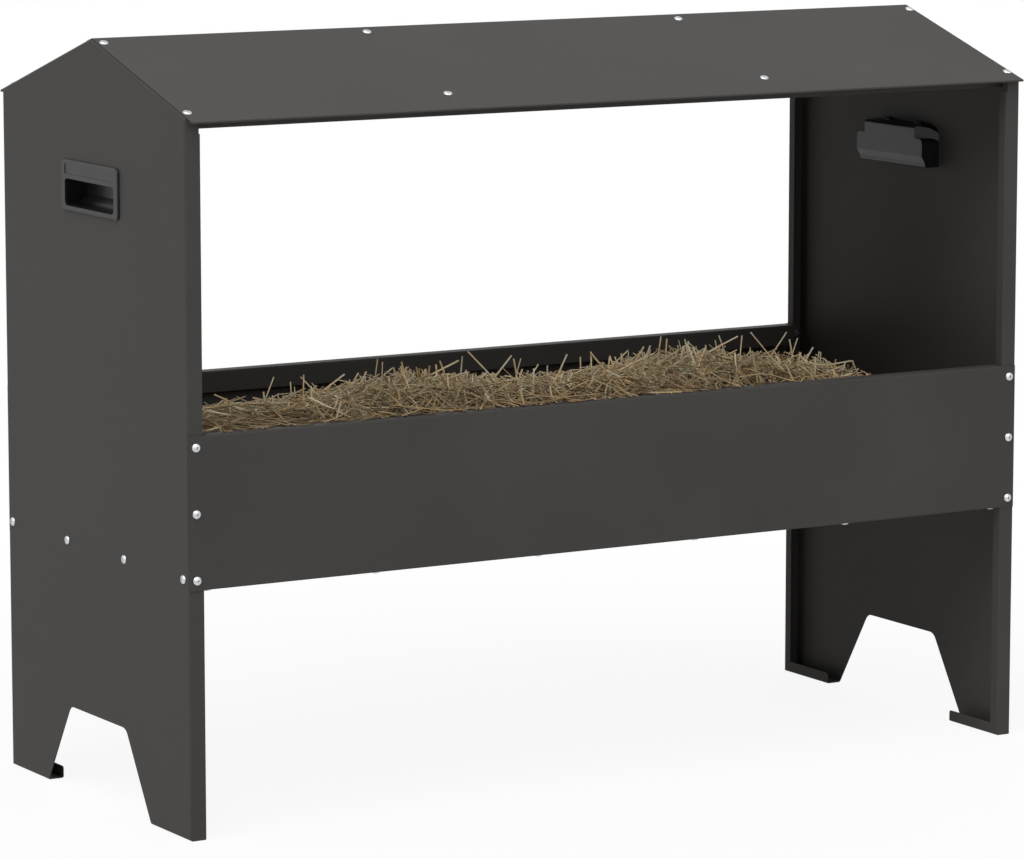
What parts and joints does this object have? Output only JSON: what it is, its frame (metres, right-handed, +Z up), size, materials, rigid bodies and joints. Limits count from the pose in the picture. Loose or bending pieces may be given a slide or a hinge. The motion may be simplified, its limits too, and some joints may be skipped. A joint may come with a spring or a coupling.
{
  "type": "hay feeder box",
  "caption": "Free-standing hay feeder: a folded-sheet trough between end panels with cut-out feet and recessed handles, under a ridged roof, open at the front and back.",
  "frame": {"origin": "on the ground under the middle of the feeder", "axes": "+X along the length, +Y from the front to the back (both are alike), +Z up"},
  "size_m": [1.0256, 0.4474, 0.7979],
  "materials": {
    "coat": "satin dark grey powder coat",
    "zinc": "bright zinc plating",
    "handle_plastic": "fine moulded grain",
    "hay": "dry loose stalks"
  },
  "bodies": {
    "root": {"left_end_panel": "coat", "right_end_panel": "coat", "trough_front_panel": "coat", "trough_back_panel": "coat", "trough_floor": "coat", "roof_sheet": "coat", "front_eave_rail": "coat", "back_eave_rail": "coat", "ridge_stiffener": "coat", "left_handle": "handle_plastic", "right_handle": "handle_plastic", "roof_end_screws": "zinc", "roof_end_nuts": "zinc", "ridge_screws": "zinc", "ridge_nuts": "zinc", "eave_screws": "zinc", "eave_nuts": "zinc", "trough_front_screws": "zinc", "trough_front_nuts": "zinc", "trough_back_screws": "zinc", "trough_back_nuts": "zinc", "floor_end_screws": "zinc", "floor_end_nuts": "zinc", "floor_long_screws": "zinc", "floor_long_nuts": "zinc"}
  },
  "joints": []
}
